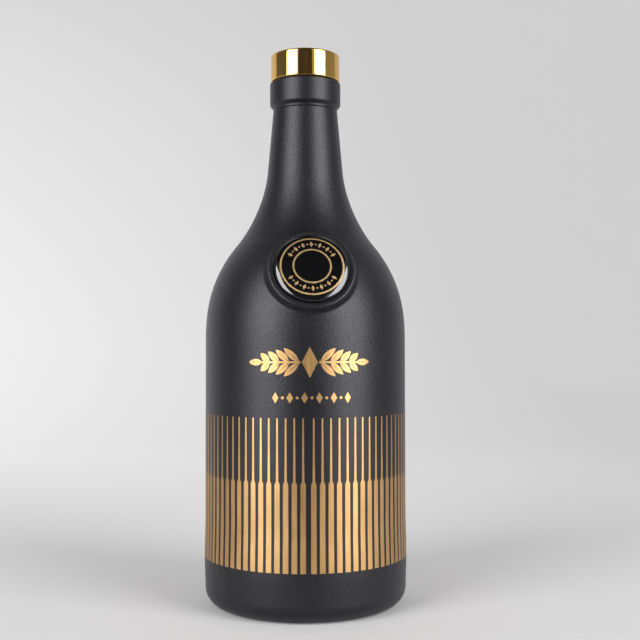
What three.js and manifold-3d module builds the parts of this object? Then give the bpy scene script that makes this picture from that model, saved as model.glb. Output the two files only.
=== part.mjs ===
// A 700 ml spirits bottle with its bar-top stopper, in millimetres, +Z up.
// The origin is the middle of the base, on the surface that the bottle stands on.
// The front, with the seal on the shoulder, faces -Y.
import * as THREE from 'three';
import { mergeVertices } from 'three/addons/utils/BufferGeometryUtils.js';
import Module from 'manifold-3d';

const wasm = await Module();
wasm.setup();

// Glass body, outside
const bodyRadius = 44;
const heelRadius = 7.5;
const heelSwell = 0.35;
const swellPeakHeight = 19.6;
const swellTopHeight = 40.6;
const bearingWidth = 6.5;
const puntHeight = 4;

// Shoulder and neck, each height counted from the end of the stretch below
const panelHeight = 113.4;
const shoulderHeight = 43.1;
const shoulderTopRadius = 30.15;
const shoulderAngle = THREE.MathUtils.degToRad(39.6);
const shoulderLowerPull = 10.2;
const shoulderUpperPull = 21.8;
const sweepHeight = 33.4;
const sweepTopRadius = 16.6;
const sweepLowerPull = 4.4;
const sweepUpperPull = 17;
const neckHeight = 26.7;
const neckTopRadius = 14.2;

// Collar round the mouth
const collarRadius = 15.7;
const collarHeight = 10.8;
const collarEdgeRadius = 1.2;
const collarUnderHeight = 1.9;

// Glass body, inside
const wall = 4.3;
const baseThickness = 10.5;
const innerCornerRadius = 12;
const boreRadius = 9.6;
const boreDepth = 24;
const mouthChamfer = 0.8;

// Moulded seal pad on the shoulder, and the medallion glued into its recess
const sealHeight = 143.6;
const padRadius = 18.2;
const padRise = 0.3;
const padEdgeRadius = 1;
const padDraft = THREE.MathUtils.degToRad(12);
const padRoot = 9;
const recessDepth = 0.8;
const glueGap = 0.3;
const medallionRadius = 15.5;
const medallionEdgeHeight = 1;
const medallionRoundWidth = 2.2;
const medallionRoundHeight = 1.4;
const medallionCrown = 0.4;
const ringOuterRadius = 13.2;
const ringInnerRadius = 8;
const ringWidth = 0.72;
const ringRise = 0.15;
const beadLength = 2.6;
const beadWidth = 1.5;
const beadsPerArc = 7;
const beadArc = THREE.MathUtils.degToRad(118);

// Gold print, built as a low relief on the glass
const printRise = 0.15;
const printRoot = 1;
const barCount = 78;
const barSeamAngle = THREE.MathUtils.degToRad(5.57);
const barTurn = THREE.MathUtils.degToRad(-2.4);
const barBottomHeight = 21.2;
const barStepHeight = 56.6;
const barTopHeight = 83.2;
const barChamfer = 1.3;
const barTopWidth = 0.64;
const barNeckWidth = 1;
const barWideWidth = 2.15;
const barFootWidth = 2.3;
const spraySpan = 52;
const sprayHeight = 105.7;
const sprayTurn = THREE.MathUtils.degToRad(-1.6);
const sprayLozengeWidth = 6.4;
const sprayLozengeHeight = 12.6;
const stemWidth = 0.8;
const leafPairs = 4;
const leafAngle = THREE.MathUtils.degToRad(42);
const leafFirstLength = 8.6;
const leafLastLength = 5.4;
const leafWidth = 2.7;
const tipLeafLength = 6.5;
const rowHeight = 91.4;
const rowSpan = 32.6;
const rowTurn = THREE.MathUtils.degToRad(-0.5);
const rowLozenges = 6;
const rowLozengeWidth = 2.7;
const rowLozengeHeight = 4.5;
const rowDotWidth = 1.2;

// Stopper: metal cap over a moulded core, with a synthetic cork shank
const capRadius = 15.36;
const capHeight = 12.1;
const capWall = 0.8;
const capEdgeRadius = 1.1;
const capFit = 0.1;
const corkLength = 20;
const corkFit = 0.3;
const corkChamfer = 1;
const stemRadius = 4;
const stemLength = 14;
const stemFit = 0.1;

// How finely round shapes are cut into facets
const outerFacets = 60;
const innerFacets = 36;
const sealFacets = 36;
const curveSteps = 5;
const cornerSteps = 3;

const TURN = 2 * Math.PI;
const QUARTER = Math.PI / 2;
const point = (r, z) => new THREE.Vector2(r, z);

const waistHeight = panelHeight + shoulderHeight;
const neckFootHeight = waistHeight + sweepHeight;
const neckTopHeight = neckFootHeight + neckHeight;
const collarFootHeight = neckTopHeight + collarUnderHeight;
const glassHeight = collarFootHeight + collarHeight;

function arcPoints(centreR, centreZ, radius, from, to, steps = cornerSteps) {
  return new THREE.ArcCurve(centreR, centreZ, radius, from, to, to < from).getPoints(steps);
}

function meshData(geometry) {
  const bare = geometry.clone();
  bare.deleteAttribute('normal');
  bare.deleteAttribute('uv');
  const merged = mergeVertices(bare, 1e-4);
  const index = merged.index.array;
  const corners = [];
  for (let i = 0; i < index.length; i += 3) {
    const [a, b, c] = [index[i], index[i + 1], index[i + 2]];
    if (a !== b && b !== c && c !== a) corners.push(a, b, c);
  }
  return { vertices: new Float32Array(merged.attributes.position.array), corners };
}

function signedVolume({ vertices, corners }) {
  const a = new THREE.Vector3();
  const b = new THREE.Vector3();
  const c = new THREE.Vector3();
  let sum = 0;
  for (let i = 0; i < corners.length; i += 3) {
    a.fromArray(vertices, 3 * corners[i]);
    b.fromArray(vertices, 3 * corners[i + 1]);
    c.fromArray(vertices, 3 * corners[i + 2]);
    sum += a.dot(b.cross(c)) / 6;
  }
  return sum;
}

// A closed geometry as a solid whose faces point outwards.
function solidFrom(geometry) {
  const data = meshData(geometry);
  const corners = signedVolume(data) < 0 ? data.corners.reverse() : data.corners;
  return new wasm.Manifold(new wasm.Mesh({
    numProp: 3,
    vertProperties: data.vertices,
    triVerts: new Uint32Array(corners),
  }));
}

function geometryFrom(solid) {
  const mesh = solid.getMesh();
  const geometry = new THREE.BufferGeometry();
  geometry.setAttribute('position', new THREE.BufferAttribute(new Float32Array(mesh.vertProperties), 3));
  geometry.setIndex(new THREE.BufferAttribute(new Uint32Array(mesh.triVerts), 1));
  geometry.computeVertexNormals();
  return geometry;
}

// A profile of (radius, height) points turned about +Z, with a facet edge at the front.
function turned(profile, facets) {
  return solidFrom(new THREE.LatheGeometry(profile, facets).rotateX(QUARTER));
}

// Outside of the glass

function smooth(t) {
  const share = Math.min(Math.max(t, 0), 1);
  return share * share * (3 - 2 * share);
}

// The panel swells a little above the heel and comes back to its straight side.
function panelRadius(height) {
  const rise = smooth((height - heelRadius) / (swellPeakHeight - heelRadius));
  const fall = smooth((height - swellPeakHeight) / (swellTopHeight - swellPeakHeight));
  return bodyRadius + heelSwell * (rise - fall);
}

function panelPoints() {
  const heights = [(heelRadius + swellPeakHeight) / 2, swellPeakHeight, swellTopHeight, panelHeight];
  return heights.map((height) => point(panelRadius(height), height));
}

const shoulderFoot = point(bodyRadius, panelHeight);
const waist = point(shoulderTopRadius, waistHeight);
const neckFoot = point(sweepTopRadius, neckFootHeight);
const waistDown = point(Math.sin(shoulderAngle), -Math.cos(shoulderAngle));
const neckTop = point(neckTopRadius, neckTopHeight);
const neckDown = neckFoot.clone().sub(neckTop).normalize();

const shoulderCurve = new THREE.CubicBezierCurve(
  shoulderFoot,
  shoulderFoot.clone().add(point(0, shoulderLowerPull)),
  waist.clone().addScaledVector(waistDown, shoulderUpperPull),
  waist,
);

const sweepCurve = new THREE.CubicBezierCurve(
  waist,
  waist.clone().addScaledVector(waistDown, -sweepLowerPull),
  neckFoot.clone().addScaledVector(neckDown, sweepUpperPull),
  neckFoot,
);

function puntPoints() {
  const rim = bodyRadius - heelRadius - bearingWidth;
  const shares = [0, 0.4, 0.75, 1];
  return shares.map((share) => point(rim * share, puntHeight * (1 - share * share)));
}

function collarPoints() {
  const edgeCentre = collarRadius - collarEdgeRadius;
  return [
    ...arcPoints(edgeCentre, collarFootHeight + collarEdgeRadius, collarEdgeRadius, -QUARTER, 0),
    ...arcPoints(edgeCentre, glassHeight - collarEdgeRadius, collarEdgeRadius, 0, QUARTER),
  ];
}

function outerProfile() {
  return [
    ...puntPoints(),
    ...arcPoints(bodyRadius - heelRadius, heelRadius, heelRadius, -QUARTER, 0),
    ...panelPoints(),
    ...shoulderCurve.getPoints(curveSteps).slice(1),
    ...sweepCurve.getPoints(curveSteps).slice(1),
    neckTop,
    ...collarPoints(),
    point(0, glassHeight),
  ];
}

// Inside of the glass: the outside moved in by the wall, over a thick base and under a round bore

function insetPoints(points, distance) {
  return points.map((here, i) => {
    const before = points[Math.max(i - 1, 0)];
    const after = points[Math.min(i + 1, points.length - 1)];
    const along = after.clone().sub(before).normalize();
    return point(here.x - along.y * distance, here.y + along.x * distance);
  });
}

function cavityProfile() {
  const innerRadius = bodyRadius - wall;
  const cornerCentre = innerRadius - innerCornerRadius;
  const curves = [...shoulderCurve.getPoints(curveSteps), ...sweepCurve.getPoints(curveSteps).slice(1)];
  return [
    point(0, baseThickness),
    ...arcPoints(cornerCentre, baseThickness + innerCornerRadius, innerCornerRadius, -QUARTER, 0),
    ...insetPoints(curves, wall),
    point(boreRadius, glassHeight - boreDepth),
    point(boreRadius, glassHeight - mouthChamfer),
    point(boreRadius + 2 * mouthChamfer, glassHeight + mouthChamfer),
    point(0, glassHeight + mouthChamfer),
  ];
}

// Seal pad and medallion, in a frame whose +Z is the shoulder's outward direction

function sealPoint() {
  const fine = shoulderCurve.getPoints(400);
  const gap = (spot) => Math.abs(spot.y - sealHeight);
  return fine.reduce((best, spot) => (gap(spot) < gap(best) ? spot : best));
}

function sealMatrix() {
  const centre = sealPoint();
  const share = shoulderCurve.getPoints(400).findIndex((spot) => spot.equals(centre)) / 400;
  const along = shoulderCurve.getTangent(share);
  const outward = new THREE.Vector3(0, -along.y, -along.x);
  const side = new THREE.Vector3(1, 0, 0);
  const upward = outward.clone().cross(side);
  return new THREE.Matrix4()
    .makeBasis(side, upward, outward)
    .setPosition(0, -centre.x, centre.y);
}

function padSolid() {
  const footRadius = padRadius + (padRoot + padRise) * Math.tan(padDraft);
  const edge = arcPoints(padRadius - padEdgeRadius, padRise - padEdgeRadius, padEdgeRadius, 0, QUARTER);
  const profile = [point(0, -padRoot), point(footRadius, -padRoot), ...edge, point(0, padRise)];
  return turned(profile, sealFacets);
}

function recessSolid() {
  const radius = medallionRadius + glueGap;
  const floor = padRise - recessDepth;
  const above = padRise + recessDepth;
  return turned([point(0, floor), point(radius, floor), point(radius, above), point(0, above)], sealFacets);
}

function crownHeight(radius) {
  const flatRadius = medallionRadius - medallionRoundWidth;
  const top = medallionEdgeHeight + medallionRoundHeight + medallionCrown;
  return top - medallionCrown * (radius / flatRadius) ** 2;
}

// Quarter of an ellipse from the upright edge of the medallion to its shallow crown.
function medallionRound() {
  const flatRadius = medallionRadius - medallionRoundWidth;
  const angles = [0, 0.3, 0.6, 1].map((share) => share * QUARTER);
  return angles.map((angle) => point(
    flatRadius + medallionRoundWidth * Math.cos(angle),
    medallionEdgeHeight + medallionRoundHeight * Math.sin(angle),
  ));
}

function ringPoints(outerRadius) {
  const innerRadius = outerRadius - ringWidth;
  return [
    point(outerRadius, crownHeight(outerRadius)),
    point(outerRadius, crownHeight(outerRadius) + ringRise),
    point(innerRadius, crownHeight(innerRadius) + ringRise),
    point(innerRadius, crownHeight(innerRadius)),
  ];
}

function lozenge(width, height) {
  const outline = [point(0, -height / 2), point(width / 2, 0), point(0, height / 2), point(-width / 2, 0)];
  return new THREE.Shape(outline);
}

// Small lozenges between the two rings, in an upper and a lower arc.
function beadSolids() {
  const middleRadius = (ringOuterRadius - ringWidth + ringInnerRadius) / 2;
  const foot = crownHeight(middleRadius) - ringRise;
  const solids = [];
  for (const arcMiddle of [0, Math.PI]) {
    for (let i = 0; i < beadsPerArc; i += 1) {
      const turn = arcMiddle + beadArc * (i / (beadsPerArc - 1) - 0.5);
      const bead = new THREE.ExtrudeGeometry(lozenge(beadWidth, beadLength), {
        depth: 2 * ringRise,
        bevelEnabled: false,
      });
      bead.translate(0, middleRadius, foot).rotateZ(turn);
      solids.push(solidFrom(bead));
    }
  }
  return solids;
}

function medallionSolid() {
  const profile = [
    point(0, 0),
    point(medallionRadius, 0),
    ...medallionRound(),
    ...ringPoints(ringOuterRadius),
    ...ringPoints(ringInnerRadius),
    point(0, crownHeight(0)),
  ];
  return wasm.Manifold.union([turned(profile, sealFacets), ...beadSolids()]);
}

// Print: outlines drawn flat, set upright round the glass and raised a little above it

// A prism through the glass side whose outline faces outwards, turned about +Z and tilted in its own plane.
function radialPrism(shape, turn, height, tilt = 0) {
  const reach = printRoot + heelSwell;
  const side = new THREE.Vector3(Math.cos(turn), Math.sin(turn), 0);
  const outward = new THREE.Vector3(Math.sin(turn), -Math.cos(turn), 0);
  const frame = new THREE.Matrix4()
    .makeBasis(side, new THREE.Vector3(0, 0, 1), outward)
    .setPosition(outward.clone().multiplyScalar(bodyRadius - reach).setZ(height));
  const prism = new THREE.ExtrudeGeometry(shape, { depth: 2 * reach, bevelEnabled: false, curveSegments: 3 });
  return solidFrom(prism.rotateZ(tilt).applyMatrix4(frame));
}

function barShape() {
  const right = [
    point(barTopWidth / 2, barTopHeight),
    point(barNeckWidth / 2, barStepHeight + barChamfer),
    point(barWideWidth / 2, barStepHeight),
    point(barFootWidth / 2, barBottomHeight),
  ];
  const left = right.map((corner) => point(-corner.x, corner.y)).reverse();
  return new THREE.Shape([...right, ...left]);
}

// Bars stand at an even pitch all round, apart from the wider seam at the front.
function barSolids() {
  const pitch = (TURN - barSeamAngle) / (barCount - 1);
  const shape = barShape();
  const turns = Array.from({ length: barCount }, (_, i) => barTurn + barSeamAngle / 2 + i * pitch);
  return turns.map((turn) => radialPrism(shape, turn, 0));
}

function leafShape(length) {
  const leaf = new THREE.Shape();
  leaf.moveTo(0, 0);
  leaf.quadraticCurveTo(length / 2, leafWidth, length, 0);
  leaf.quadraticCurveTo(length / 2, -leafWidth, 0, 0);
  return leaf;
}

function strip(length, width) {
  const [x, y] = [length / 2, width / 2];
  return new THREE.Shape([point(-x, -y), point(x, -y), point(x, y), point(-x, y)]);
}

// One branch: a stem with pairs of leaves that shorten towards a last leaf at its tip.
function branchSolids(side) {
  const first = sprayLozengeWidth / 2;
  const end = spraySpan / 2 - tipLeafLength;
  const place = (x) => sprayTurn + side * x / bodyRadius;
  const lean = (tilt) => (side > 0 ? tilt : Math.PI - tilt);
  const solids = [
    radialPrism(strip(end - first + 1, stemWidth), place((first + end + 1) / 2), sprayHeight),
    radialPrism(leafShape(tipLeafLength), place(end), sprayHeight, lean(0)),
  ];
  for (let i = 0; i < leafPairs; i += 1) {
    const share = i / (leafPairs - 1);
    const x = first + 1 + share * (end - first - leafLastLength * Math.cos(leafAngle));
    const leaf = leafShape(THREE.MathUtils.lerp(leafFirstLength, leafLastLength, share));
    for (const tilt of [leafAngle, -leafAngle]) {
      solids.push(radialPrism(leaf, place(x), sprayHeight, lean(tilt)));
    }
  }
  return solids;
}

function spraySolids() {
  const middle = radialPrism(lozenge(sprayLozengeWidth, sprayLozengeHeight), sprayTurn, sprayHeight);
  return [middle, ...branchSolids(1), ...branchSolids(-1)];
}

// A row of lozenges with a small dot between each two.
function rowSolids() {
  const step = (rowSpan - rowLozengeWidth) / (rowLozenges - 1);
  const solids = [];
  for (let i = 0; i < 2 * rowLozenges - 1; i += 1) {
    const x = (i / 2 - (rowLozenges - 1) / 2) * step;
    const dot = i % 2 === 1;
    const shape = dot ? lozenge(rowDotWidth, rowDotWidth) : lozenge(rowLozengeWidth, rowLozengeHeight);
    solids.push(radialPrism(shape, rowTurn + x / bodyRadius, rowHeight));
  }
  return solids;
}

// The skin that the print is cut from: the glass side, from inside its wall to the print's face.
function printSkin() {
  const side = [point(panelRadius(heelRadius), heelRadius), ...panelPoints()];
  const shifted = (distance) => side.map((spot) => point(spot.x + distance, spot.y));
  return turned([...shifted(printRise), ...shifted(-printRoot).reverse(), point(side[0].x + printRise, side[0].y)],
    outerFacets);
}

function printSolid() {
  const prisms = wasm.Manifold.union([...barSolids(), ...spraySolids(), ...rowSolids()]);
  return printSkin().intersect(prisms);
}

function glassSolid() {
  const frame = sealMatrix();
  const place = (solid) => solid.transform(frame.elements);
  return turned(outerProfile(), outerFacets)
    .add(place(padSolid()))
    .subtract(place(recessSolid()))
    .add(printSolid())
    .subtract(turned(cavityProfile(), innerFacets));
}

// Stopper pieces, with z = 0 at the glass lip

function capSolid() {
  const innerRadius = capRadius - capWall;
  const profile = [
    point(innerRadius, 0),
    point(capRadius, 0),
    ...arcPoints(capRadius - capEdgeRadius, capHeight - capEdgeRadius, capEdgeRadius, 0, QUARTER),
    point(0, capHeight),
    point(0, capHeight - capWall),
    point(innerRadius, capHeight - capWall),
    point(innerRadius, 0),
  ];
  return turned(profile, innerFacets);
}

function coreSolid() {
  const radius = capRadius - capWall - capFit;
  const top = capHeight - capWall;
  const profile = [
    point(0, -stemLength),
    point(stemRadius, -stemLength),
    point(stemRadius, 0),
    point(radius, 0),
    point(radius, top),
    point(0, top),
  ];
  return turned(profile, innerFacets);
}

function corkSolid() {
  const radius = boreRadius - corkFit;
  const socketRadius = stemRadius + stemFit;
  const socketDepth = stemLength + stemFit;
  const profile = [
    point(0, -corkLength),
    point(radius - corkChamfer, -corkLength),
    point(radius, corkChamfer - corkLength),
    point(radius, 0),
    point(socketRadius, 0),
    point(socketRadius, -socketDepth),
    point(0, -socketDepth),
  ];
  return turned(profile, innerFacets);
}

// Finishes

const coatedGlass = new THREE.MeshStandardMaterial({ color: 0x2a2a2d, roughness: 0.5, metalness: 0 });
const glossBlack = new THREE.MeshStandardMaterial({ color: 0x050506, roughness: 0.08, metalness: 0 });
const polishedGold = new THREE.MeshStandardMaterial({ color: 0xd9a84e, roughness: 0.08, metalness: 1 });
const blackPlastic = new THREE.MeshStandardMaterial({ color: 0x1b1b1c, roughness: 0.6, metalness: 0 });
const syntheticCork = new THREE.MeshStandardMaterial({ color: 0xc9a67a, roughness: 0.9, metalness: 0 });

function namedMesh(name, solid, material) {
  const mesh = new THREE.Mesh(geometryFrom(solid), material);
  mesh.name = name;
  return mesh;
}

const bottle = new THREE.Group();
bottle.add(namedMesh('glass_bottle', glassSolid(), coatedGlass));

const seal = new THREE.Group();
seal.applyMatrix4(sealMatrix());
const medallion = namedMesh('medallion', medallionSolid(), glossBlack);
medallion.position.z = padRise - recessDepth + glueGap;
seal.add(medallion);
bottle.add(seal);

const stopper = new THREE.Group();
stopper.position.z = glassHeight;
stopper.add(namedMesh('stopper_cap', capSolid(), polishedGold));
stopper.add(namedMesh('stopper_core', coreSolid(), blackPlastic));
stopper.add(namedMesh('stopper_cork', corkSolid(), syntheticCork));

const model = new THREE.Group();
model.add(bottle, stopper);

export default model;
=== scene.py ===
"""Looks of a spirits bottle: matte coated glass, gold print, a glossy seal and a bar-top stopper.

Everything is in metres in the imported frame: +Z up, the middle of the base at the origin, the
front towards -Y.
"""

import math

import bmesh
import bpy
import numpy as np
from mathutils import Matrix, Vector


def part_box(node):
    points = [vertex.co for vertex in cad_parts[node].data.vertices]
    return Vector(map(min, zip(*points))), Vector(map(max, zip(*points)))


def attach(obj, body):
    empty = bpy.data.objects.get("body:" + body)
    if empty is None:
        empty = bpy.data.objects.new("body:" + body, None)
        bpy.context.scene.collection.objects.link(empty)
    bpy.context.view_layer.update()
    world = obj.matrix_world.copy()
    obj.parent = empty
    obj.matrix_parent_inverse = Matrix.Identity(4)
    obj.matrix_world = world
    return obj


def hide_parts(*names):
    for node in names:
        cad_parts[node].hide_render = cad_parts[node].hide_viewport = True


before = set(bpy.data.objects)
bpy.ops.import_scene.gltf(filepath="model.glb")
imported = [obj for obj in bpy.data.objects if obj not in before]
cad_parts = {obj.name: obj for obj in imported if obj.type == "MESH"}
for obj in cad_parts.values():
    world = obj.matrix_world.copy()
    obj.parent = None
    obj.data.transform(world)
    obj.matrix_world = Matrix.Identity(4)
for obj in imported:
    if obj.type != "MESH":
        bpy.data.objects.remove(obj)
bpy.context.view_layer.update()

MM = 0.001
TURN = 2 * math.pi

# Glass, outside
BODY_RADIUS = 44 * MM
HEEL_RADIUS = 7.5 * MM
HEEL_SWELL = 0.35 * MM
SWELL_PEAK = 19.6 * MM
SWELL_TOP = 40.6 * MM
BEARING_WIDTH = 6.5 * MM
PUNT_HEIGHT = 4 * MM
PANEL_HEIGHT = 113.4 * MM
SHOULDER_HEIGHT = 43.1 * MM
SHOULDER_TOP_RADIUS = 30.15 * MM
SHOULDER_ANGLE = math.radians(39.6)
SHOULDER_PULLS = (10.2 * MM, 21.8 * MM)
SWEEP_HEIGHT = 33.4 * MM
SWEEP_TOP_RADIUS = 16.6 * MM
SWEEP_PULLS = (4.4 * MM, 17 * MM)
NECK_HEIGHT = 26.7 * MM
NECK_TOP_RADIUS = 14.2 * MM

# Mould seam at the neck's top: rows of (out from the neck's top radius, down from the neck's top)
SEAM_START = 1.2 * MM
SEAM_ROWS = ((0.06 * MM, 0.6 * MM), (0.02 * MM, 0.35 * MM), (-0.2 * MM, 0.15 * MM))

# Collar: heights are above the neck's top, and the pulls shape the hollow under it
COLLAR_RADIUS = 15.7 * MM
COLLAR_EDGE_RADIUS = 1.2 * MM
COLLAR_HOLLOW_START = 0.1 * MM
COLLAR_HOLLOW_DEPTH = 0.1 * MM
COLLAR_HOLLOW_PULL = 1.9 * MM
COLLAR_FOOT_PULL = 1.3 * MM
COLLAR_FOOT = 3.2 * MM
COLLAR_SIDE_START = 3.6 * MM
COLLAR_SIDE_GAP = 0.3 * MM

# Glass, inside
WALL = 4.3 * MM
BASE_THICKNESS = 10.5 * MM
INNER_CORNER_RADIUS = 12 * MM
BORE_RADIUS = 9.6 * MM
BORE_DEPTH = 24 * MM
MOUTH_CHAMFER = 0.8 * MM

# Seal pad and medallion: SEAL_HEIGHT is above the base, and levels are out of the bare shoulder
SEAL_HEIGHT = 143.6 * MM
PAD_RADIUS = 18.2 * MM
PAD_RISE = 0.3 * MM
PAD_EDGE_RADIUS = 0.95 * MM
PAD_DRAFT = math.radians(12)
PAD_FILLET = 1 * MM
PAD_FILLET_FADE = 1 * MM
PAD_FINE_REACH = 2.6 * MM
PAD_COARSE_START = 21 * MM
PAD_REACH = 25 * MM
PAD_SKIN = 0.8 * MM
RECESS_DEPTH = 0.8 * MM
RECESS_CORNER = (0.3 * MM, 0.1 * MM)
RECESS_RIM = 0.2 * MM
RECESS_RIM_SHARE = 0.3
GLUE_GAP = 0.3 * MM
MEDALLION_RADIUS = 15.5 * MM
MEDALLION_CHAMFER = 0.2 * MM
MEDALLION_EDGE = 1 * MM
ROUND_WIDTH = 3.3 * MM
ROUND_HEIGHT = 1.4 * MM
CROWN = 0.4 * MM
RING_RADII = (13.2 * MM, 8 * MM)
RING_WIDTH = 0.72 * MM
BEAD_LENGTH = 2.6 * MM
BEAD_WIDTH = 1.5 * MM
BEADS_PER_ARC = 7
BEAD_ARC = math.radians(118)
BEAD_DOT = 0.38 * MM
SEARCH_LEVELS = (-20 * MM, 5 * MM)
SEARCH_HALVINGS = 40

# Gold print: it stands out of the panel by FOIL, and out of the medallion by half of that
FOIL = 0.04 * MM
TIP_SHARE = 0.002
DOT_TIP_SHARE = 0.02
BAR_COUNT = 78
BAR_SEAM = math.radians(5.57)
BAR_TURN = math.radians(-2.4)
BAR_BOTTOM = 21.2 * MM
BAR_STEP = 56.6 * MM
BAR_TOP = 83.2 * MM
BAR_CHAMFER = 1.3 * MM
BAR_WIDTHS = (2.3 * MM, 2.15 * MM, 1.0 * MM, 0.64 * MM)
SPRAY_SPAN = 52 * MM
SPRAY_HEIGHT = 105.7 * MM
SPRAY_TURN = math.radians(-1.6)
SPRAY_LOZENGE = (6.4 * MM, 12.6 * MM)
STEM_WIDTH = 0.8 * MM
STEM_START = 0.5 * MM
STEM_OVERLAP = 1 * MM
LEAF_PAIRS = 4
LEAF_START = 1 * MM
LEAF_ANGLE = math.radians(42)
LEAF_LENGTHS = (8.6 * MM, 5.4 * MM)
LEAF_WIDTH = 2.7 * MM
LEAF_ENDS = (0.03, 0.985)
LEAF_VEIN = 0.22 * MM
VEIN_LIMIT = 0.8
TIP_LEAF_LENGTH = 6.5 * MM
ROW_HEIGHT = 91.4 * MM
ROW_SPAN = 32.6 * MM
ROW_TURN = math.radians(-0.5)
ROW_LOZENGES = 6
ROW_LOZENGE = (2.7 * MM, 4.5 * MM)
ROW_DOT = 1.2 * MM

# Stopper
CAP_RADIUS = 15.36 * MM
CAP_WALL = 0.8 * MM
CAP_CORNER = 0.2 * MM
CAP_EDGE_RADIUS = 1.1 * MM
CAP_ROLL = 0.6 * MM
CAP_SEAT = 0.1 * MM
CAP_SIDE_START = 0.8 * MM
CAP_SIDE_GAP = 0.5 * MM
CAP_TOP_SHARES = (0.9, 0.6, 0.3, 0)
CAP_FIT = 0.1 * MM
CORE_TOP_FIT = 0.02 * MM
CORE_CHAMFER = 0.2 * MM
CORK_FIT = 0.3 * MM
CORK_CHAMFER = 1 * MM
CORK_TOP_CHAMFER = 0.2 * MM
CORK_FOOT_SHARE = 0.5
STEM_RADIUS = 4 * MM
STEM_CHAMFER = 0.3 * MM
STEM_FIT = 0.1 * MM

WAIST = PANEL_HEIGHT + SHOULDER_HEIGHT
NECK_FOOT = WAIST + SWEEP_HEIGHT
NECK_TOP = NECK_FOOT + NECK_HEIGHT
RECESS_FLOOR = PAD_RISE - RECESS_DEPTH
MEDALLION_FOOT = RECESS_FLOOR + GLUE_GAP
GLASS_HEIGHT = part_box("glass_bottle")[1].z
CAP_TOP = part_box("stopper_cap")[1].z
CORK_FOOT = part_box("stopper_cork")[0].z
CORE_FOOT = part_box("stopper_core")[0].z

# Points round a turned piece, the angle from which an edge is drawn sharp, and how near two
# points are merged
GLASS_COLUMNS = 240
SMALL_COLUMNS = 160
SHARP_ANGLE = math.radians(40)
DOUBLES = 1e-7


# Meshes from whole arrays


def linked(name, data):
    """A new object in the scene, at the origin and unturned."""
    thing = bpy.data.objects.new(name, data)
    bpy.context.scene.collection.objects.link(thing)
    return thing


def grid_mesh(name, grids):
    """Quads between neighbouring rows of grids shaped (pieces, rows, columns, 3).

    Each row closes on itself."""
    pieces, rows, columns = grids.shape[:3]
    index = np.arange(pieces * rows * columns).reshape(pieces, rows, columns)
    index = np.concatenate([index, index[:, :, :1]], axis=2)
    corners = [index[:, :-1, :-1], index[:, :-1, 1:], index[:, 1:, 1:], index[:, 1:, :-1]]
    quads = np.stack(corners, axis=-1).reshape(-1, 4)
    mesh = bpy.data.meshes.new(name)
    mesh.from_pydata(grids.reshape(-1, 3).tolist(), [], quads.tolist())
    return mesh


def surface(name, grids, material, body, replaces=()):
    """One closed piece from grids, on its body; the parts it replaces are hidden.

    A row whose points all coincide becomes a pole, because doubles are merged."""
    mesh = grid_mesh(name, grids)
    shell = bmesh.new()
    shell.from_mesh(mesh)
    bmesh.ops.remove_doubles(shell, verts=shell.verts, dist=DOUBLES)
    bmesh.ops.recalc_face_normals(shell, faces=shell.faces)
    shell.to_mesh(mesh)
    shell.free()
    mesh.shade_smooth()
    mesh.set_sharp_from_angle(angle=SHARP_ANGLE)
    mesh.materials.append(material)
    piece = linked(name, mesh)
    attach(piece, body)
    if replaces:
        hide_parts(*replaces)


def revolved(radii, heights, columns):
    """Grid of a profile turned about +Z: x = r sin a, y = -r cos a, z = height."""
    angles = np.arange(columns) * TURN / columns
    x = radii[:, None] * np.sin(angles)
    y = -radii[:, None] * np.cos(angles)
    z = np.broadcast_to(heights[:, None], x.shape)
    return np.stack([x, y, z], axis=-1)[None]


def joined(*stretches):
    """Profile stretches of (radius, height) rows as one pair of arrays."""
    rows = np.concatenate([np.atleast_2d(stretch) for stretch in stretches])
    return rows[:, 0], rows[:, 1]


def arc(centre, radius, start, end, steps):
    """Points on a circle round centre, from angle start to angle end in degrees."""
    angles = np.radians(np.linspace(start, end, steps))
    x = centre[0] + radius * np.cos(angles)
    y = centre[1] + radius * np.sin(angles)
    return np.stack([x, y], axis=-1)


def upright(radius, start, end, steps):
    """Profile points straight up at one radius."""
    return np.stack([np.full(steps, radius), np.linspace(start, end, steps)], axis=-1)


def bezier(a, b, c, d, steps):
    """Cubic curve from a to d that leaves towards b and arrives from c."""
    t = np.linspace(0, 1, steps)[:, None]
    a, b, c, d = (np.array(p, float) for p in (a, b, c, d))
    return (1 - t) ** 3 * a + 3 * (1 - t) ** 2 * t * b + 3 * (1 - t) * t**2 * c + t**3 * d


def smooth(t):
    """0 below 0, 1 above 1, and 3t^2 - 2t^3 between."""
    t = np.clip(t, 0, 1)
    return t * t * (3 - 2 * t)


# Shape of the glass


def panel_radius(height):
    """Body radius plus a small swell that rises to its peak above the heel and fades above it."""
    rise = smooth((height - HEEL_RADIUS) / (SWELL_PEAK - HEEL_RADIUS))
    fall = smooth((height - SWELL_PEAK) / (SWELL_TOP - SWELL_PEAK))
    return BODY_RADIUS + HEEL_SWELL * (rise - fall)


def shoulder_and_sweep(steps=64):
    """Two cubic curves that meet at the waist: round shoulder, then hollow sweep into the neck."""
    down = np.array([math.sin(SHOULDER_ANGLE), -math.cos(SHOULDER_ANGLE)])
    foot = np.array([BODY_RADIUS, PANEL_HEIGHT])
    waist = np.array([SHOULDER_TOP_RADIUS, WAIST])
    neck = np.array([SWEEP_TOP_RADIUS, NECK_FOOT])
    neck_down = neck - np.array([NECK_TOP_RADIUS, NECK_TOP])
    neck_down /= np.linalg.norm(neck_down)
    foot_pull = foot + [0, SHOULDER_PULLS[0]]
    lower = bezier(foot, foot_pull, waist + down * SHOULDER_PULLS[1], waist, steps)
    neck_pull = neck + neck_down * SWEEP_PULLS[1]
    upper = bezier(waist, waist - down * SWEEP_PULLS[0], neck_pull, neck, steps)
    return np.concatenate([lower, upper[1:]])


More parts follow.
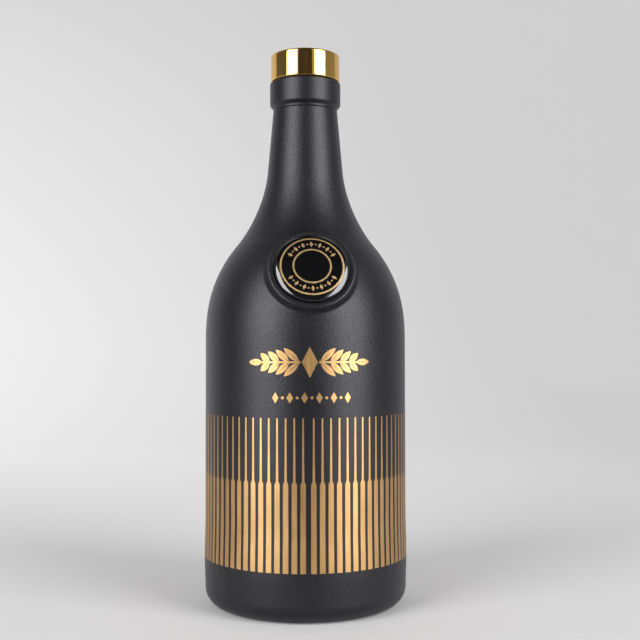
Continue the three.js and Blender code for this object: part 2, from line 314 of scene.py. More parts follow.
def punt():
    """A shallow parabola from the axis to the bearing ring."""
    rim = BODY_RADIUS - HEEL_RADIUS - BEARING_WIDTH
    r = np.linspace(0, rim, num=24)
    return np.stack([r, PUNT_HEIGHT * (1 - (r / rim) ** 2)], axis=-1)


def panel():
    """The side from the heel to the shoulder."""
    z = np.linspace(HEEL_RADIUS, PANEL_HEIGHT, num=70)
    return np.stack([panel_radius(z), z], axis=-1)[1:-1]


def neck_side():
    """The straight taper of the neck, up to its mould seam."""
    z = np.linspace(NECK_FOOT, NECK_TOP - SEAM_START, num=12)[1:]
    lean = (SWEEP_TOP_RADIUS - NECK_TOP_RADIUS) / NECK_HEIGHT
    return np.stack([NECK_TOP_RADIUS + (NECK_TOP - z) * lean, z], axis=-1)


def collar():
    """The mould seam on the neck, a hollow under the collar, and the collar with round edges."""
    seam = [(NECK_TOP_RADIUS + out, NECK_TOP - down) for out, down in SEAM_ROWS]
    under = bezier(
        (NECK_TOP_RADIUS, NECK_TOP + COLLAR_HOLLOW_START),
        (NECK_TOP_RADIUS - COLLAR_HOLLOW_DEPTH, NECK_TOP + COLLAR_HOLLOW_PULL),
        (COLLAR_RADIUS, NECK_TOP + COLLAR_FOOT_PULL),
        (COLLAR_RADIUS, NECK_TOP + COLLAR_FOOT),
        steps=16,
    )
    side_top = GLASS_HEIGHT - COLLAR_EDGE_RADIUS - COLLAR_SIDE_GAP
    side = upright(COLLAR_RADIUS, NECK_TOP + COLLAR_SIDE_START, side_top, steps=6)
    edge = (COLLAR_RADIUS - COLLAR_EDGE_RADIUS, GLASS_HEIGHT - COLLAR_EDGE_RADIUS)
    lip = arc(edge, COLLAR_EDGE_RADIUS, 0, 90, steps=10)
    return np.concatenate([seam, under, side, lip])


def inset(points, distance):
    """Points moved square to their path, to its left."""
    along = np.gradient(points, axis=0)
    along /= np.linalg.norm(along, axis=1)[:, None]
    return points + distance * np.stack([-along[:, 1], along[:, 0]], axis=-1)


def hollow():
    """The inside, from the mouth down the bore to the middle of the floor."""
    corner = (BODY_RADIUS - WALL - INNER_CORNER_RADIUS, BASE_THICKNESS + INNER_CORNER_RADIUS)
    return np.concatenate([
        [(BORE_RADIUS + MOUTH_CHAMFER, GLASS_HEIGHT)],
        [(BORE_RADIUS, GLASS_HEIGHT - MOUTH_CHAMFER)],
        [(BORE_RADIUS, GLASS_HEIGHT - BORE_DEPTH)],
        inset(shoulder_and_sweep(steps=20), WALL)[::-1],
        arc(corner, INNER_CORNER_RADIUS, 0, -90, steps=10),
        [(0, BASE_THICKNESS)],
    ])


def outside():
    """The outer profile from the middle of the punt to the lip."""
    heel = arc((BODY_RADIUS - HEEL_RADIUS, HEEL_RADIUS), HEEL_RADIUS, -90, 0, steps=18)
    return np.concatenate([punt(), heel, panel(), shoulder_and_sweep(), neck_side(), collar()])


def glass_piece(material):
    """The whole glass: outside and hollow turned as one closed profile."""
    grid = revolved(*joined(outside(), hollow()), GLASS_COLUMNS)
    surface("bottle_glass", grid, material, "bottle", ["glass_bottle"])


# Seal: a frame whose third axis leaves the shoulder squarely


def seal_axes():
    """Origin on the shoulder, and the axes to the right, up the slope and outwards."""
    slope = shoulder_and_sweep(steps=400)
    along = np.gradient(slope, axis=0)
    at = np.argmin(np.abs(slope[:, 1] - SEAL_HEIGHT))
    along = along[at] / np.linalg.norm(along[at])
    origin = np.array([0, -slope[at, 0], slope[at, 1]])
    outward = np.array([0, -along[1], -along[0]])
    right = np.array([1.0, 0, 0])
    return origin, right, np.cross(outward, right), outward


SEAL_ORIGIN, SEAL_RIGHT, SEAL_UP, SEAL_OUT = seal_axes()


def on_seal(x, y, h):
    """Points given across, up and out of the seal, in the bottle's frame."""
    across = SEAL_ORIGIN + x[..., None] * SEAL_RIGHT
    return across + y[..., None] * SEAL_UP + h[..., None] * SEAL_OUT


def seal_circles(radii, columns):
    """Across and up of the points on circles round the seal's middle, clockwise from its top."""
    angles = np.arange(columns) * TURN / columns
    return radii[:, None] * np.sin(angles), radii[:, None] * np.cos(angles)


def turned_on_seal(radii, heights, columns):
    """Grid of a profile turned about the seal's outward axis."""
    x, y = seal_circles(radii, columns)
    return on_seal(x, y, np.broadcast_to(heights[:, None], x.shape))[None]


def shoulder_level(x, y):
    """How far out the bare shoulder lies at each seal point, found by halving a bracket."""
    slope = shoulder_and_sweep(steps=200)
    below = np.array([[BODY_RADIUS, 0.0]])
    r, z = np.concatenate([below, slope]).T
    low = np.full(x.shape, SEARCH_LEVELS[0])
    high = np.full(x.shape, SEARCH_LEVELS[1])
    for _ in range(SEARCH_HALVINGS):
        middle = (low + high) / 2
        p = on_seal(x, y, middle)
        outside_glass = np.hypot(p[..., 0], p[..., 1]) > np.interp(p[..., 2], z, r)
        high = np.where(outside_glass, middle, high)
        low = np.where(outside_glass, low, middle)
    return (low + high) / 2


def pad_level(rho):
    """The pad's own face: flat, then a round edge, then a wall that leans out by its draft."""
    start = PAD_RADIUS - PAD_EDGE_RADIUS
    run = np.clip(rho - start, 0, PAD_EDGE_RADIUS * math.cos(PAD_DRAFT))
    edge = PAD_RISE - PAD_EDGE_RADIUS + np.sqrt(PAD_EDGE_RADIUS**2 - run**2)
    wall = np.clip(rho - start - PAD_EDGE_RADIUS * math.cos(PAD_DRAFT), 0, None)
    return edge - wall / math.tan(PAD_DRAFT)


def recess():
    """Radii and levels of the recess, from the middle of its floor up the wall to its rim."""
    wall = MEDALLION_RADIUS + GLUE_GAP
    rim = RECESS_RIM_SHARE * RECESS_RIM
    rho = [0, wall - RECESS_CORNER[0], wall, wall, wall + rim]
    corner = RECESS_FLOOR + RECESS_CORNER[1]
    level = [RECESS_FLOOR, RECESS_FLOOR, corner, PAD_RISE - RECESS_RIM, PAD_RISE - rim]
    return np.array(rho), np.array(level)


def pad_piece(material):
    """Recess, rim and pad, running out into the shoulder.

    Past the recess the level is the smooth maximum of pad and shoulder: half their sum plus half
    the root of their squared difference and the squared fillet. A skin under it closes the piece
    inside the glass."""
    start = MEDALLION_RADIUS + GLUE_GAP + RECESS_RIM
    fine = np.linspace(start, PAD_RADIUS + PAD_FINE_REACH, num=60)
    rho = np.concatenate([fine, np.linspace(PAD_COARSE_START, PAD_REACH, num=20)])
    x, y = seal_circles(rho, SMALL_COLUMNS)
    pad = pad_level(rho)[:, None]
    bare = shoulder_level(x, y)
    lift = (bare - pad + np.sqrt((pad - bare) ** 2 + PAD_FILLET**2)) / 2
    level = pad + lift * smooth((rho[:, None] - start) / PAD_FILLET_FADE)
    under_x, under_y = seal_circles(np.linspace(PAD_REACH, 0, num=12), SMALL_COLUMNS)
    under = on_seal(under_x, under_y, shoulder_level(under_x, under_y) - PAD_SKIN)
    inner = turned_on_seal(*recess(), SMALL_COLUMNS)[0]
    grid = np.concatenate([inner, on_seal(x, y, level), under])
    surface("seal_pad", grid[None], material, "bottle")


def crown_level(rho):
    """The medallion's face: an upright edge, an elliptic round and a parabola over all of it."""
    share = np.clip((rho - MEDALLION_RADIUS + ROUND_WIDTH) / ROUND_WIDTH, 0, 1)
    round_edge = ROUND_HEIGHT * np.sqrt(1 - share**2)
    crown = CROWN * (1 - (rho / MEDALLION_RADIUS) ** 2)
    return MEDALLION_FOOT + MEDALLION_EDGE + round_edge + crown


def medallion_piece(material):
    """A disc from its flat foot up the edge and over the face."""
    foot = [
        (0, MEDALLION_FOOT),
        (MEDALLION_RADIUS - MEDALLION_CHAMFER, MEDALLION_FOOT),
        (MEDALLION_RADIUS, MEDALLION_FOOT + MEDALLION_CHAMFER),
    ]
    flat = MEDALLION_RADIUS - ROUND_WIDTH
    edge = flat + ROUND_WIDTH * np.cos(np.radians(np.linspace(0, 90, num=40)))
    rho = np.concatenate([edge, np.linspace(flat, 0, num=20)[1:]])
    profile = joined(foot, np.stack([rho, crown_level(rho)], axis=-1))
    grid = turned_on_seal(*profile, SMALL_COLUMNS)
    surface("medallion_disc", grid, material, "bottle", ["medallion"])


# Thin gold print: strips between two edges, laid on a surface, and the medallion's rings


def strips(left, right, place, thickness=FOIL):
    """Closed thin strips from two edges, each (pieces, steps, 2), laid on by place(x, y, lift).

    Three points across face outwards and three inwards; both ends close in their middle point."""
    across = np.array([0, 0.5, 1])[None, None, :, None]
    flat = left[:, :, None] * (1 - across) + right[:, :, None] * across
    front = place(flat[..., 0], flat[..., 1], thickness)
    back = place(flat[..., 0], flat[..., 1], -thickness)[:, :, ::-1]
    body = np.concatenate([front, back], axis=2)
    first = np.broadcast_to(body[:, :1].mean(axis=2, keepdims=True), body[:, :1].shape)
    last = np.broadcast_to(body[:, -1:].mean(axis=2, keepdims=True), body[:, -1:].shape)
    return np.concatenate([first, body, last], axis=1)


def print_on(name, edges, place, material, thickness=FOIL):
    """One gold piece on the bottle from a pair of edges, each shaped (pieces, steps, 2)."""
    grids = strips(*edges, place, thickness)
    surface(name, grids, material, "bottle")


def on_panel(turn, height):
    """A place function: x runs round the glass from an angle, y up from a height, lift outwards."""

    def place(x, y, lift):
        angle = turn + x / BODY_RADIUS
        z = height + y
        r = panel_radius(z) + lift
        return np.stack([r * np.sin(angle), -r * np.cos(angle), z], axis=-1)

    return place


def on_crown(x, y, lift):
    """A place function for the medallion's face."""
    return on_seal(x, y, crown_level(np.hypot(x, y)) + lift)


def mirrored_edges(x, half):
    """A pair of edges, half a width above and below the x axis."""
    return np.stack([x, half], axis=-1), np.stack([x, -half], axis=-1)


def lozenge(width, height, steps=9):
    """Edges of an upright lozenge, from its left tip to its right tip."""
    x = np.linspace(-1, 1, steps)
    half = height / 2 * np.clip(1 - np.abs(x), TIP_SHARE, 1)
    return mirrored_edges(x * width / 2, half)


def disc(width, steps=13):
    """Edges of a round dot."""
    angle = np.linspace(math.pi, 0, steps)
    half = width / 2 * np.clip(np.sin(angle), DOT_TIP_SHARE, 1)
    return mirrored_edges(width / 2 * np.cos(angle), half)


def spin(points, angle):
    """Flat points turned about their origin."""
    cos, sin = math.cos(angle), math.sin(angle)
    x, y = points[:, 0], points[:, 1]
    return np.stack([x * cos - y * sin, x * sin + y * cos], axis=-1)


def moved(edges, angle, x, mirror):
    """Both edges turned, moved along x, and mirrored about x = 0 where mirror is -1."""
    return [(spin(edge, angle) + [x, 0]) * [mirror, 1] for edge in edges]


def stacked(parts):
    """A list of pairs of edges as one pair of arrays shaped (pieces, steps, 2)."""
    return [np.stack([part[side] for part in parts]) for side in (0, 1)]


def bars_piece(material):
    """Upright bars round the glass: wide below the step, a short chamfer, then a thin taper."""
    pitch = (TURN - BAR_SEAM) / (BAR_COUNT - 1)
    turns = BAR_TURN + BAR_SEAM / 2 + pitch * np.arange(BAR_COUNT)
    levels = np.array([BAR_BOTTOM, BAR_STEP, BAR_STEP + BAR_CHAMFER, BAR_TOP])
    z = np.concatenate([np.linspace(*levels[:2], num=26), np.linspace(*levels[2:], num=14)])
    half = np.interp(z, levels, BAR_WIDTHS) / 2
    middle = turns[:, None] * BODY_RADIUS
    left = np.stack(np.broadcast_arrays(middle - half, z), axis=-1)
    right = np.stack(np.broadcast_arrays(middle + half, z), axis=-1)
    print_on("print_bars", (left, right), on_panel(0.0, 0.0), material)


def leaf_halves(length, steps=15):
    """The two halves of a pointed leaf with a bare vein between, each as a pair of edges."""
    share = np.linspace(*LEAF_ENDS, steps)
    edge = 2 * share * (1 - share) * LEAF_WIDTH
    vein = np.minimum(LEAF_VEIN / 2 * (1 - share), VEIN_LIMIT * edge)
    x = share * length
    upper = (np.stack([x, edge], axis=-1), np.stack([x, vein], axis=-1))
    lower = tuple(part * [1, -1] for part in upper)
    return [upper, lower]


def branch(mirror):
    """Edges of one branch: leaf pairs that shorten towards the tip, and a last leaf."""
    first = SPRAY_LOZENGE[0] / 2
    end = SPRAY_SPAN / 2 - TIP_LEAF_LENGTH
    reach = end - first - LEAF_LENGTHS[1] * math.cos(LEAF_ANGLE)
    parts = [moved(half, 0.0, end, mirror) for half in leaf_halves(TIP_LEAF_LENGTH)]
    for i in range(LEAF_PAIRS):
        share = i / (LEAF_PAIRS - 1)
        x = first + LEAF_START + share * reach
        length = LEAF_LENGTHS[0] + share * (LEAF_LENGTHS[1] - LEAF_LENGTHS[0])
        for tilt in (LEAF_ANGLE, -LEAF_ANGLE):
            parts += [moved(half, tilt, x, mirror) for half in leaf_halves(length)]
    return parts


def stem(mirror, steps=15):
    """Edges of a straight stem from the middle lozenge to the last leaf."""
    start = SPRAY_LOZENGE[0] / 2 + STEM_START
    end = SPRAY_SPAN / 2 - TIP_LEAF_LENGTH + STEM_OVERLAP
    half = np.full(steps, STEM_WIDTH / 2)
    return moved(mirrored_edges(np.linspace(start, end, steps), half), 0.0, 0.0, mirror)


def spray_pieces(material):
    """A leaf spray on each side of a tall lozenge."""
    place = on_panel(SPRAY_TURN, SPRAY_HEIGHT)
    parts = branch(1) + branch(-1) + [stem(1), stem(-1)]
    print_on("print_spray", stacked(parts), place, material)
    middle = stacked([lozenge(*SPRAY_LOZENGE, steps=21)])
    print_on("print_spray_lozenge", middle, place, material)


def row_pieces(material):
    """A row of lozenges with a dot between each two."""
    step = (ROW_SPAN - ROW_LOZENGE[0]) / (ROW_LOZENGES - 1)
    place = on_panel(ROW_TURN, ROW_HEIGHT)
    middles = (np.arange(2 * ROW_LOZENGES - 1) / 2 - (ROW_LOZENGES - 1) / 2) * step
    for name, edges, xs in (
        ("print_row_lozenges", lozenge(*ROW_LOZENGE, steps=13), middles[::2]),
        ("print_row_dots", disc(ROW_DOT), middles[1::2]),
    ):
        parts = [[edge + [x, 0] for edge in edges] for x in xs]
        print_on(name, stacked(parts), place, material)


def medallion_rings(material):
    """Two plain rings on the crown."""
    for number, outer in enumerate(RING_RADII):
        inner = outer - RING_WIDTH
        rho = np.array([inner, outer - RING_WIDTH / 2, outer, outer, inner, inner])
        lift = np.array([1, 1, 1, -1, -1, 1]) * FOIL / 2
        grid = turned_on_seal(rho, crown_level(rho) + lift, SMALL_COLUMNS)
        surface(f"medallion_ring_{number + 1}", grid, material, "bottle")


def medallion_beads(material):
    """Lozenges with dots between them, in an upper and a lower arc between the rings."""
    middle = (RING_RADII[0] - RING_WIDTH + RING_RADII[1]) / 2
    step = BEAD_ARC / (BEADS_PER_ARC - 1)
    for name, edges, count in (
        ("medallion_lozenges", lozenge(BEAD_WIDTH, BEAD_LENGTH), BEADS_PER_ARC),
        ("medallion_dots", disc(2 * BEAD_DOT), BEADS_PER_ARC - 1),
    ):
        turns = (np.arange(count) - (count - 1) / 2) * step
        turns = np.concatenate([turns, turns + math.pi])
        parts = [[spin(edge + [0, middle], turn) for edge in edges] for turn in turns]
        print_on(name, stacked(parts), on_crown, material, FOIL / 2)


# Stopper


def cap_piece(material):
    """The metal shell: a cup with a round top edge and a rolled lower rim."""
    inner = CAP_RADIUS - CAP_WALL
    under = CAP_TOP - CAP_WALL
    rim = GLASS_HEIGHT + CAP_SEAT
    edge = (CAP_RADIUS - CAP_EDGE_RADIUS, CAP_TOP - CAP_EDGE_RADIUS)
    side_top = CAP_TOP - CAP_EDGE_RADIUS - CAP_SIDE_GAP
    profile = joined(
        [(0, under), (inner - CAP_CORNER, under), (inner, under - CAP_CORNER), (inner, rim)],
        arc((CAP_RADIUS - CAP_ROLL, rim + CAP_ROLL), CAP_ROLL, -90, 0, steps=8),
        upright(CAP_RADIUS, GLASS_HEIGHT + CAP_SIDE_START, side_top, steps=6),
        arc(edge, CAP_EDGE_RADIUS, 0, 90, steps=14),
        [(CAP_RADIUS * share, CAP_TOP) for share in CAP_TOP_SHARES],
    )
    grid = revolved(*profile, SMALL_COLUMNS)
    surface("cap_shell", grid, material, "stopper", ["stopper_cap"])


def core_piece(material):
    """The moulded insert with its stem."""
    radius = CAP_RADIUS - CAP_WALL - CAP_FIT
    top = CAP_TOP - CAP_WALL - CORE_TOP_FIT
    profile = joined(
        [(0, CORE_FOOT), (STEM_RADIUS - STEM_CHAMFER, CORE_FOOT)],
        [(STEM_RADIUS, CORE_FOOT + STEM_CHAMFER), (STEM_RADIUS, GLASS_HEIGHT)],
        [(radius - CORE_CHAMFER, GLASS_HEIGHT), (radius, GLASS_HEIGHT + CORE_CHAMFER)],
        [(radius, top), (0, top)],
    )
    grid = revolved(*profile, SMALL_COLUMNS)
    surface("cap_insert", grid, material, "stopper", ["stopper_core"])


def cork_piece(material):
    """The shank, with a round foot edge and the socket for the stem."""
    radius = BORE_RADIUS - CORK_FIT
    socket = STEM_RADIUS + STEM_FIT
    depth = CORE_FOOT - STEM_FIT
    edge = (radius - CORK_CHAMFER, CORK_FOOT + CORK_CHAMFER)
    profile = joined(
        [(0, CORK_FOOT), (CORK_FOOT_SHARE * radius, CORK_FOOT)],
        arc(edge, CORK_CHAMFER, -90, 0, steps=8),
        [(radius, GLASS_HEIGHT - CORK_TOP_CHAMFER), (radius - CORK_TOP_CHAMFER, GLASS_HEIGHT)],
        [(socket, GLASS_HEIGHT), (socket, depth), (0, depth)],
    )
    grid = revolved(*profile, SMALL_COLUMNS)
    surface("cork_shank", grid, material, "stopper", ["stopper_cork"])


# Finishes, on Object coordinates

# Most of a noise's values lie between these two
NOISE_START = 0.3
NOISE_END = 0.7


class Finish:
    """A Principled material with short ways to add noise, ramps and bump."""

    def __init__(self, name, **sockets):
        self.material = bpy.data.materials.new(name)
        self.material.use_nodes = True
        self.tree = self.material.node_tree
        self.shader = self.tree.nodes["Principled BSDF"]
        for socket, value in sockets.items():
            self.shader.inputs[socket.replace("_", " ")].default_value = value

    def noise(self, scale, detail, stretch=(1, 1, 1), rough=0.5):
        """Noise on the object's own coordinates, about 1/scale metres coarse."""
        nodes = self.tree.nodes
        where = nodes.new("ShaderNodeTexCoord")
        mapping = nodes.new("ShaderNodeMapping")
        mapping.inputs["Scale"].default_value = stretch
        noise = nodes.new("ShaderNodeTexNoise")
        noise.inputs["Scale"].default_value = scale
        noise.inputs["Detail"].default_value = detail
        noise.inputs["Roughness"].default_value = rough
        self.tree.links.new(where.outputs["Object"], mapping.inputs["Vector"])
        self.tree.links.new(mapping.outputs["Vector"], noise.inputs["Vector"])
        return noise.outputs["Fac"]

    def range(self, value, low, high, start=NOISE_START, end=NOISE_END, course="LINEAR"):
        """The value's stretch from start to end spread over low to high."""
        node = self.tree.nodes.new("ShaderNodeMapRange")
        node.interpolation_type = course
        node.inputs["From Min"].default_value = start
        node.inputs["From Max"].default_value = end
        node.inputs["To Min"].default_value = low
        node.inputs["To Max"].default_value = high
        self.tree.links.new(value, node.inputs["Value"])
        return node.outputs["Result"]

    def joint(self, operation, value, other):
        """Two values brought together by a Math node."""
        node = self.tree.nodes.new("ShaderNodeMath")
        node.operation = operation
        self.tree.links.new(value, node.inputs[0])
        self.tree.links.new(other, node.inputs[1])
        return node.outputs["Value"]

    def blend(self, value, other, gain, offset):
        """Product of two values, times a gain, plus an offset."""
        node = self.tree.nodes.new("ShaderNodeMath")
        node.operation = "MULTIPLY_ADD"
        self.tree.links.new(self.joint("MULTIPLY", value, other), node.inputs[0])
        node.inputs[1].default_value = gain
        node.inputs[2].default_value = offset
        return node.outputs["Value"]

    def tint(self, value, dark, light):
        """Base colour from dark to light by a value."""
        ramp = self.tree.nodes.new("ShaderNodeValToRGB")
        first, last = ramp.color_ramp.elements
        first.position = NOISE_START
        last.position = NOISE_END
        first.color = (*dark, 1)
        last.color = (*light, 1)
        self.tree.links.new(value, ramp.inputs["Fac"])
        self.tree.links.new(ramp.outputs["Color"], self.shader.inputs["Base Color"])

    def roughness(self, value, low, high):
        """Roughness from low to high by a value."""
        self.tree.links.new(self.range(value, low, high), self.shader.inputs["Roughness"])

    def bump(self, value, depth, strength, before=None):
        """Bump of that depth in metres, on top of an earlier one."""
        node = self.tree.nodes.new("ShaderNodeBump")
        node.inputs["Strength"].default_value = strength
        node.inputs["Distance"].default_value = depth
        self.tree.links.new(value, node.inputs["Height"])
        if before is not None:
            self.tree.links.new(before, node.inputs["Normal"])
        self.tree.links.new(node.outputs["Normal"], self.shader.inputs["Normal"])
        return node.outputs["Normal"]


def coating():
    """Soft matte black coat: faint cloudiness, and the fine grain of the sprayed surface."""
    cool = (0.95, 0.93, 1, 1)
    finish = Finish(
        "matte_black_coating", IOR=1.5, Specular_IOR_Level=0.38, Specular_Tint=cool
    )
    clouds = finish.noise(scale=60, detail=3)
    finish.tint(clouds, dark=(0.003, 0.003, 0.0042), light=(0.005, 0.005, 0.0067))
    finish.roughness(finish.noise(scale=900, detail=4), low=0.34, high=0.44)
    grain = finish.bump(finish.noise(scale=1500, detail=3), depth=0.2 * MM, strength=0.5)
    ripple = finish.noise(scale=260, detail=2)
    finish.bump(ripple, depth=0.08 * MM, strength=0.08, before=grain)
    return finish.material


def print_gold():
    """Satin gold foil with fine upright drag marks."""
    finish = Finish("satin_gold_print", Metallic=1.0)
    marks = finish.noise(scale=500, detail=3, stretch=(1, 1, 0.15))
    finish.tint(marks, dark=(0.43, 0.255, 0.105), light=(0.53, 0.325, 0.14))
    fine_marks = finish.noise(scale=1200, detail=3, stretch=(1, 1, 0.1))
    finish.roughness(fine_marks, low=0.38, high=0.5)
    finish.bump(finish.noise(scale=1500, detail=3), depth=0.02 * MM, strength=0.3)
    return finish.material


def medallion_gold():
    """Satin gold under a clear gloss coat, like the medallion's dome."""
    finish = Finish("domed_gold_print", Metallic=0.85, Coat_Weight=1.0, Coat_Roughness=0.02)
    clouds = finish.noise(scale=700, detail=2)
    finish.tint(clouds, dark=(0.42, 0.28, 0.13), light=(0.52, 0.35, 0.165))
    finish.roughness(finish.noise(scale=900, detail=2), low=0.4, high=0.5)
    return finish.material


def medallion_black():
    """Deep gloss black, with a trace of orange peel."""
    finish = Finish("gloss_black_dome", IOR=1.55, Coat_Weight=0.6, Coat_Roughness=0.02)
    clouds = finish.noise(scale=300, detail=2)
    finish.tint(clouds, dark=(0.0015, 0.0015, 0.0018), light=(0.0025, 0.0025, 0.0028))
    finish.roughness(finish.noise(scale=400, detail=2), low=0.02, high=0.05)
    finish.bump(finish.noise(scale=150, detail=1), depth=0.02 * MM, strength=0.05)
    return finish.material


def mirror_gold():
    """Polished gold anodised metal, with a hint of turning marks round it."""
    finish = Finish("polished_gold_metal", Metallic=1.0)
    clouds = finish.noise(scale=200, detail=2)
    finish.tint(clouds, dark=(0.78, 0.475, 0.13), light=(0.84, 0.52, 0.155))
    marks = finish.noise(scale=900, detail=3, stretch=(0.2, 0.2, 3))
    finish.roughness(marks, low=0.03, high=0.07)
    finish.bump(finish.noise(scale=120, detail=1), depth=0.03 * MM, strength=0.03)
    return finish.material


def plastic():
    """Moulded black plastic with a fine matte grain."""
    finish = Finish("moulded_black_plastic")
    clouds = finish.noise(scale=400, detail=2)
    finish.tint(clouds, dark=(0.012, 0.012, 0.012), light=(0.02, 0.02, 0.02))
    finish.roughness(finish.noise(scale=1200, detail=3), low=0.45, high=0.6)
    finish.bump(finish.noise(scale=2500, detail=2), depth=0.02 * MM, strength=0.3)
    return finish.material


def cork():
    """Foamed synthetic cork: warm tan with fine specks and pores."""
    finish = Finish("synthetic_cork", Specular_IOR_Level=0.3)
    specks = finish.noise(scale=1500, detail=5, rough=0.7)
    finish.tint(specks, dark=(0.30, 0.18, 0.085), light=(0.54, 0.36, 0.20))
    finish.roughness(finish.noise(scale=900, detail=3), low=0.75, high=0.95)
    pores = finish.bump(finish.noise(scale=2200, detail=4), depth=0.08 * MM, strength=0.6)
    swell = finish.noise(scale=500, detail=2)
    finish.bump(swell, depth=0.1 * MM, strength=0.3, before=pores)
    return finish.material


# Stage, light and camera

SEAL_AZIMUTH = math.radians(3.9)
CAMERA_DISTANCE = 457.6 * MM
CAMERA_HEIGHT = 112.9 * MM
CAMERA_YAW = math.radians(0.81)
CAMERA_PITCH = math.radians(1.35)
CAMERA_ROLL = math.radians(-0.08)
CAMERA_CLIP = 0.01
FOCAL_SHARE = 1030 / 640
SENSOR = 36

FLOOR_RADIUS = 0.7
FLOOR_RINGS = (0, 0.3, 0.6)
COVE_RADIUS = 1.1
COVE_HEIGHT = 2.4
COVE_COLUMNS = 96

# Painted light of the cove: an emission glow in place of light falling on the backdrop; how strong
# it is, over which distances it changes, and the share of the left glow that is still there high up
GLOW_EVEN = 0.23
GLOW_LEFT = 0.34
GLOW_AROUND = 0.25
BEHIND_BOTTLE = (-0.25, 0.65)
LEFT_TO_RIGHT = (-0.75, 0.35)
LOW_TO_HIGH = (0.1, 0.9)
HIGH_SHARE = 0.25
OUTWARDS = (0.6, 1.1)

# Cards for reflections: name, azimuth in degrees, near end, its height and the tone
CARD_DISTANCE = 0.95
CARD_WIDTH = 0.8
CARD_LEVEL = 0.012
CARD_HEIGHT = 1.8
CARDS = (
    ("front_card", 0, CARD_DISTANCE, CARD_HEIGHT, 0.06),
    ("floor_card", 0, 0.15, CARD_LEVEL, 0.05),
    ("left_card", -88, CARD_DISTANCE, CARD_HEIGHT, 0.13),
    ("right_card", 92, CARD_DISTANCE, CARD_HEIGHT, 0.3),
)

# Lights: name, azimuth in degrees, height, width and radiance
LIGHT_DISTANCE = 0.75
LIGHT_LENGTH = 1.0
SOFTBOXES = (
    ("softbox_left", -44.5, 0.38, 0.48, 7.2),
    ("softbox_right", 50, 0.38, 0.5, 7.2),
)
OVERHEAD = ("softbox_above", 180, 1.5, 1.4, 0.55)
SURROUND_COLOUR = (0.95, 0.96, 1, 1)
SURROUND_STRENGTH = 0.03


def camera():
    """The camera at the photograph's angle: a level view along +Y, then yaw, pitch and roll.

    All of it is turned about +Z, so that the seal at the front shows a little to the right."""
    data = bpy.data.cameras.new("camera")
    data.sensor_width = SENSOR
    data.lens = SENSOR * FOCAL_SHARE
    data.clip_start = CAMERA_CLIP
    forward = Vector((
        math.sin(CAMERA_YAW) * math.cos(CAMERA_PITCH),
        math.cos(CAMERA_YAW) * math.cos(CAMERA_PITCH),
        math.sin(CAMERA_PITCH),
    ))
    level = Vector((math.cos(CAMERA_YAW), -math.sin(CAMERA_YAW), 0))
    square = level.cross(forward)
    right = level * math.cos(CAMERA_ROLL) + square * math.sin(CAMERA_ROLL)
    up = square * math.cos(CAMERA_ROLL) - level * math.sin(CAMERA_ROLL)
    place = Matrix((right, up, -forward)).transposed().to_4x4()
    place.translation = Vector((0, -CAMERA_DISTANCE, CAMERA_HEIGHT))
    eye = linked("camera", data)
    eye.matrix_world = Matrix.Rotation(-SEAL_AZIMUTH, 4, "Z") @ place
    bpy.context.scene.camera = eye


def stage_material():
    """Pale paper with painted light: an emission glow all round, most behind the bottle and at the
    camera's lower left.
    """
    finish = Finish("pale_paper_painted_glow", Base_Color=(0.5, 0.497, 0.5, 1), Roughness=0.9)
    finish.bump(finish.noise(scale=30, detail=3), depth=0.5 * MM, strength=0.05)
    nodes, links = finish.tree.nodes, finish.tree.links
    where = nodes.new("ShaderNodeTexCoord")
    facing = nodes.new("ShaderNodeMapping")
    facing.inputs["Rotation"].default_value = (0, 0, SEAL_AZIMUTH)
    parts = nodes.new("ShaderNodeSeparateXYZ")
    links.new(where.outputs["Object"], facing.inputs["Vector"])
    links.new(facing.outputs["Vector"], parts.inputs["Vector"])
    behind = finish.range(parts.outputs["Y"], 0, 1, *BEHIND_BOTTLE, course="SMOOTHSTEP")
    left = finish.range(parts.outputs["X"], 1, 0, *LEFT_TO_RIGHT)
    lower = finish.range(parts.outputs["Z"], 1, HIGH_SHARE, *LOW_TO_HIGH)
    backdrop = finish.blend(left, lower, GLOW_LEFT, GLOW_EVEN)
    glow = finish.joint("MULTIPLY", behind, backdrop)
    level = nodes.new("ShaderNodeMapping")
    level.inputs["Scale"].default_value = (1, 1, 0)
    reach = nodes.new("ShaderNodeVectorMath")
    reach.operation = "LENGTH"
    links.new(where.outputs["Object"], level.inputs["Vector"])
    links.new(level.outputs["Vector"], reach.inputs[0])
    distance = reach.outputs["Value"]
    around = finish.range(distance, 0, GLOW_AROUND, *OUTWARDS, course="SMOOTHSTEP")
    brighter = finish.joint("MAXIMUM", glow, around)
    # The emission is painted light: the paper glows in place of lamps lighting the backdrop.
    links.new(brighter, finish.shader.inputs["Emission Strength"])
    finish.shader.inputs["Emission Color"].default_value = (1, 0.99, 1, 1)
    return finish.material


def cove():
    """A round floor that sweeps up into a wall all round."""
    sweep = arc((FLOOR_RADIUS, COVE_RADIUS), COVE_RADIUS, -90, 0, steps=24)
    flat = [(radius, 0) for radius in FLOOR_RINGS]
    profile = joined(flat, sweep, [(FLOOR_RADIUS + COVE_RADIUS, COVE_HEIGHT)])
    mesh = grid_mesh("cove", revolved(*profile, COVE_COLUMNS))
    mesh.shade_smooth()
    mesh.materials.append(stage_material())
    floor = linked("cove", mesh)


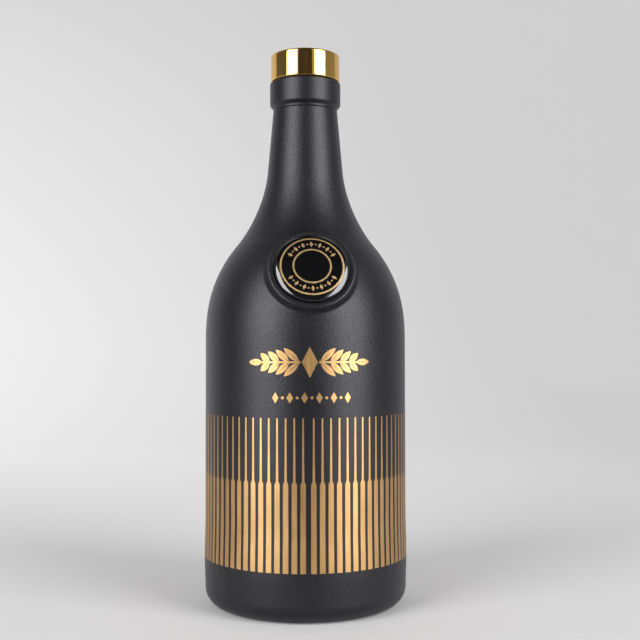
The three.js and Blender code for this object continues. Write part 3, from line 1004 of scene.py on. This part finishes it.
def card_facing(name, azimuth, start, top, tone):
    """A flat card that only reflections see, at an azimuth to the right of the camera.

    It stands at CARD_DISTANCE, or lies on the floor from there to a nearer start."""
    finish = Finish(name + "_paper", Base_Color=(tone, tone, tone, 1), Roughness=0.95)
    finish.bump(finish.noise(scale=200, detail=2), depth=0.2 * MM, strength=0.1)
    across = np.array([-0.5, 0.5, 0.5, -0.5]) * CARD_WIDTH
    away = np.array([CARD_DISTANCE, CARD_DISTANCE, start, start])
    z = np.array([CARD_LEVEL, CARD_LEVEL, top, top])
    angle = math.radians(azimuth) - SEAL_AZIMUTH
    x = across * math.cos(angle) + away * math.sin(angle)
    y = across * math.sin(angle) - away * math.cos(angle)
    mesh = bpy.data.meshes.new(name)
    mesh.from_pydata(np.stack([x, y, z], axis=-1).tolist(), [], [(0, 1, 2, 3)])
    mesh.materials.append(finish.material)
    card = linked(name, mesh)
    card.visible_camera = False
    card.visible_diffuse = False
    card.visible_shadow = False


def softbox(name, azimuth, height, width, radiance):
    """An upright light panel at an azimuth to the right of the camera, facing the bottle's axis."""
    data = bpy.data.lights.new(name, "AREA")
    data.shape = "RECTANGLE"
    data.size = width
    data.size_y = LIGHT_LENGTH
    data.energy = radiance * math.pi * width * LIGHT_LENGTH
    angle = math.radians(azimuth) - SEAL_AZIMUTH
    x = LIGHT_DISTANCE * math.sin(angle)
    y = -LIGHT_DISTANCE * math.cos(angle)
    light = linked(name, data)
    light.location = (x, y, height)
    light.rotation_euler = Vector((-x, -y, 0)).to_track_quat("-Z", "Y").to_euler()
    light.visible_camera = False
    return light


def lights():
    """Two tall softboxes beside the camera, one overhead that faces down, and a faint surround."""
    for box in SOFTBOXES:
        softbox(*box)
    above = softbox(*OVERHEAD)
    above.rotation_euler = (0, 0, 0)
    world = bpy.data.worlds.new("surround")
    world.use_nodes = True
    background = world.node_tree.nodes["Background"]
    background.inputs["Color"].default_value = SURROUND_COLOUR
    background.inputs["Strength"].default_value = SURROUND_STRENGTH
    bpy.context.scene.world = world
    bpy.context.scene.view_settings.view_transform = "Standard"


camera()
cove()
for settings in CARDS:
    card_facing(*settings)
lights()

black = coating()
gold = print_gold()
dome_gold = medallion_gold()

glass_piece(black)
pad_piece(black)
medallion_piece(medallion_black())
medallion_rings(dome_gold)
medallion_beads(dome_gold)
bars_piece(gold)
spray_pieces(gold)
row_pieces(gold)
cap_piece(mirror_gold())
core_piece(plastic())
cork_piece(cork())
